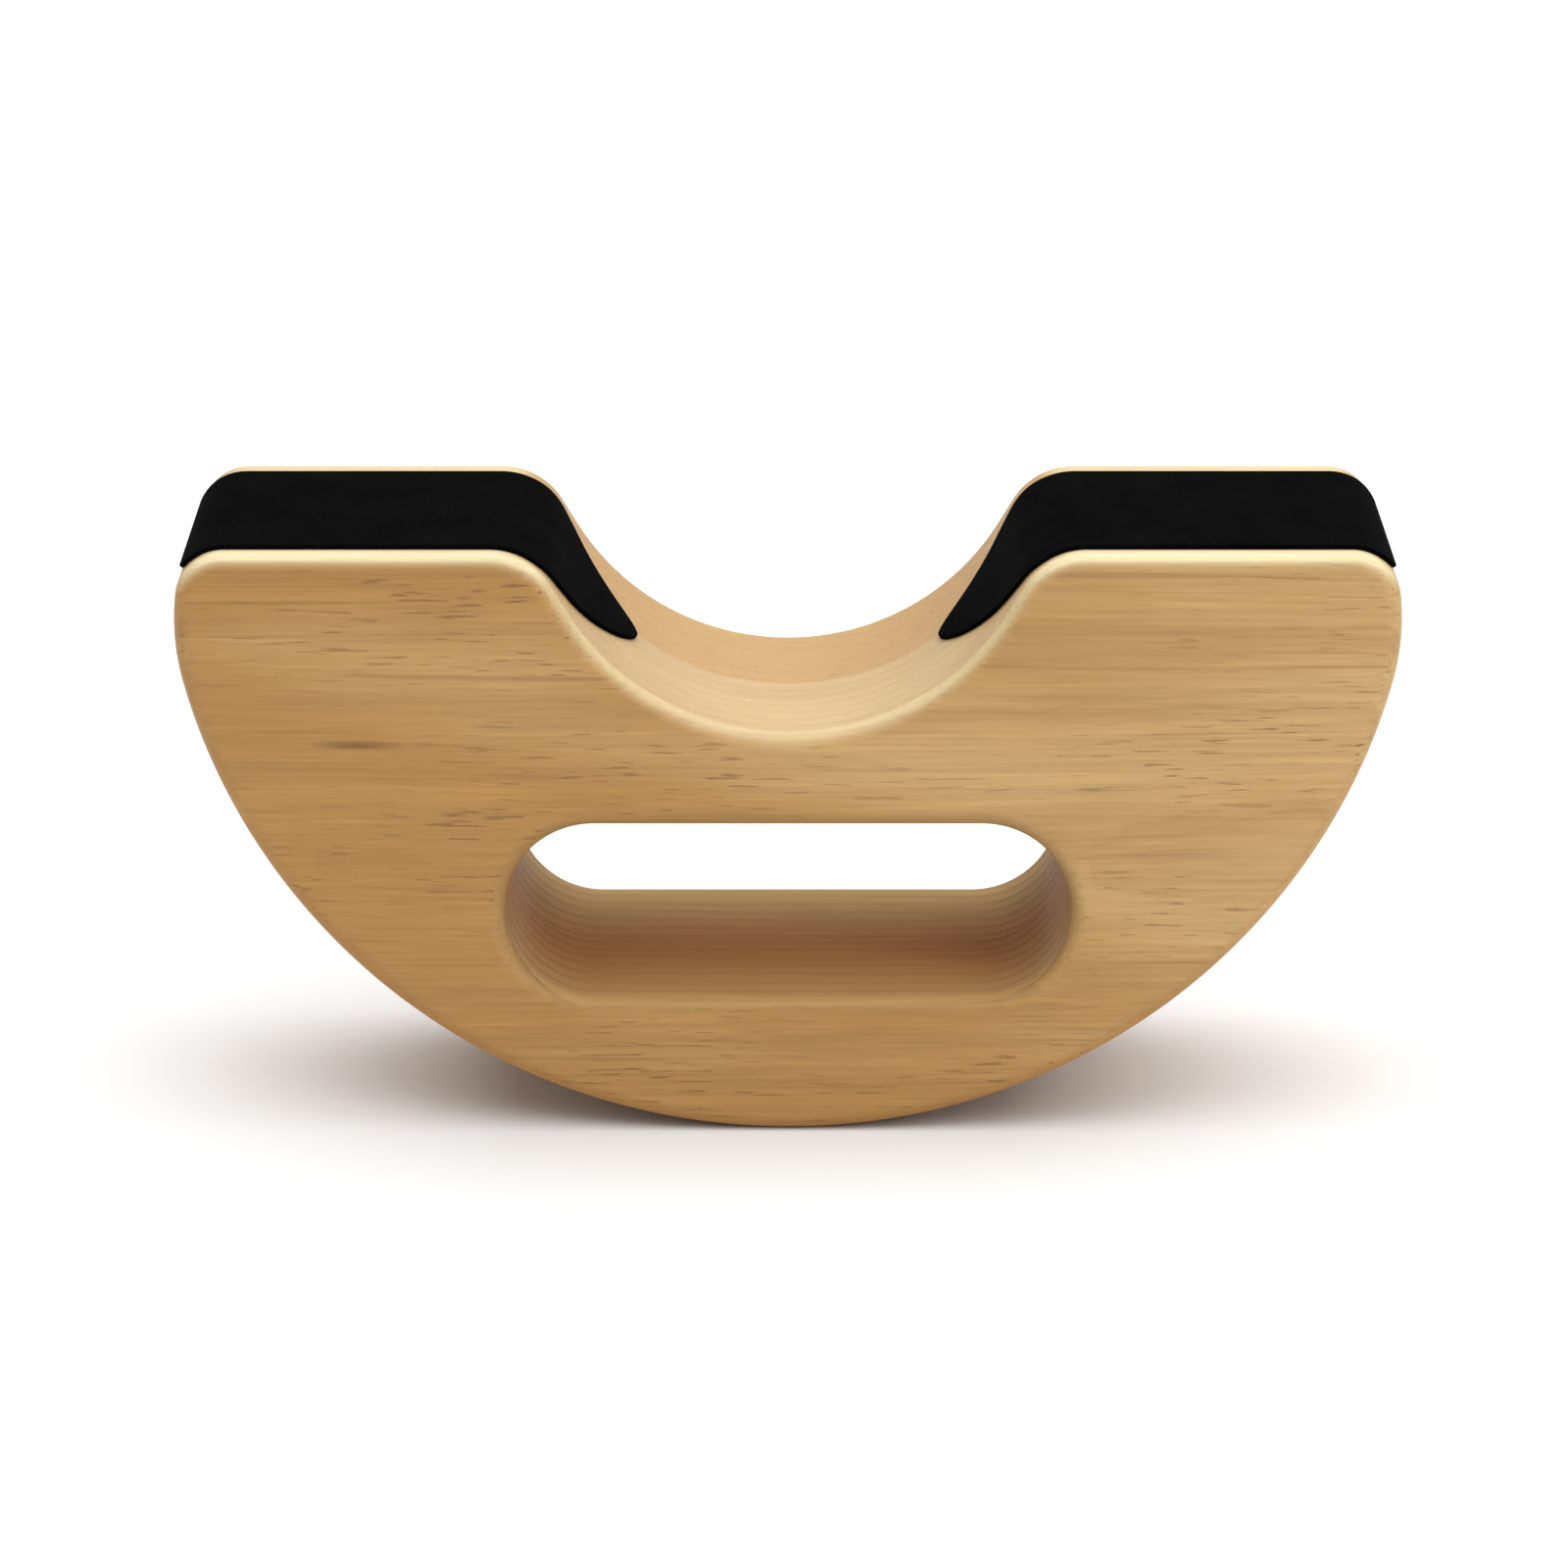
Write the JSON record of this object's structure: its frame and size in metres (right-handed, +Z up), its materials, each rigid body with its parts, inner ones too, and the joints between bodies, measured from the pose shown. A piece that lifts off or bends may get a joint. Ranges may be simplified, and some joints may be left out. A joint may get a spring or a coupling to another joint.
{
  "type": "seesaw rocker block",
  "caption": "Laminated pine rocker with a round bottom, flat lands wrapped in black rubber grip pads, a round notch between them and a hand slot right through.",
  "frame": {"origin": "on the floor under the middle of the block, at the rocker's lowest point, midway between the two outer faces", "axes": "+X along the block towards the right-hand pad, +Y from the front face to the rear face, +Z up"},
  "size_m": [0.2964, 0.0902, 0.1482],
  "materials": {
    "front_pine": "clear satin lacquer over sanded pine",
    "rear_pine": "clear satin lacquer over sanded pine, a little redder than the front board",
    "wood_glue": "dried wood glue",
    "grip_pad": "matte foam rubber with a fine pebbled surface",
    "pad_adhesive": "translucent adhesive film"
  },
  "bodies": {
    "root": {"front_board": "front_pine", "rear_board": "rear_pine", "glue_line": "wood_glue", "left_pad": "grip_pad", "right_pad": "grip_pad", "left_pad_adhesive": "pad_adhesive", "right_pad_adhesive": "pad_adhesive"}
  },
  "joints": []
}
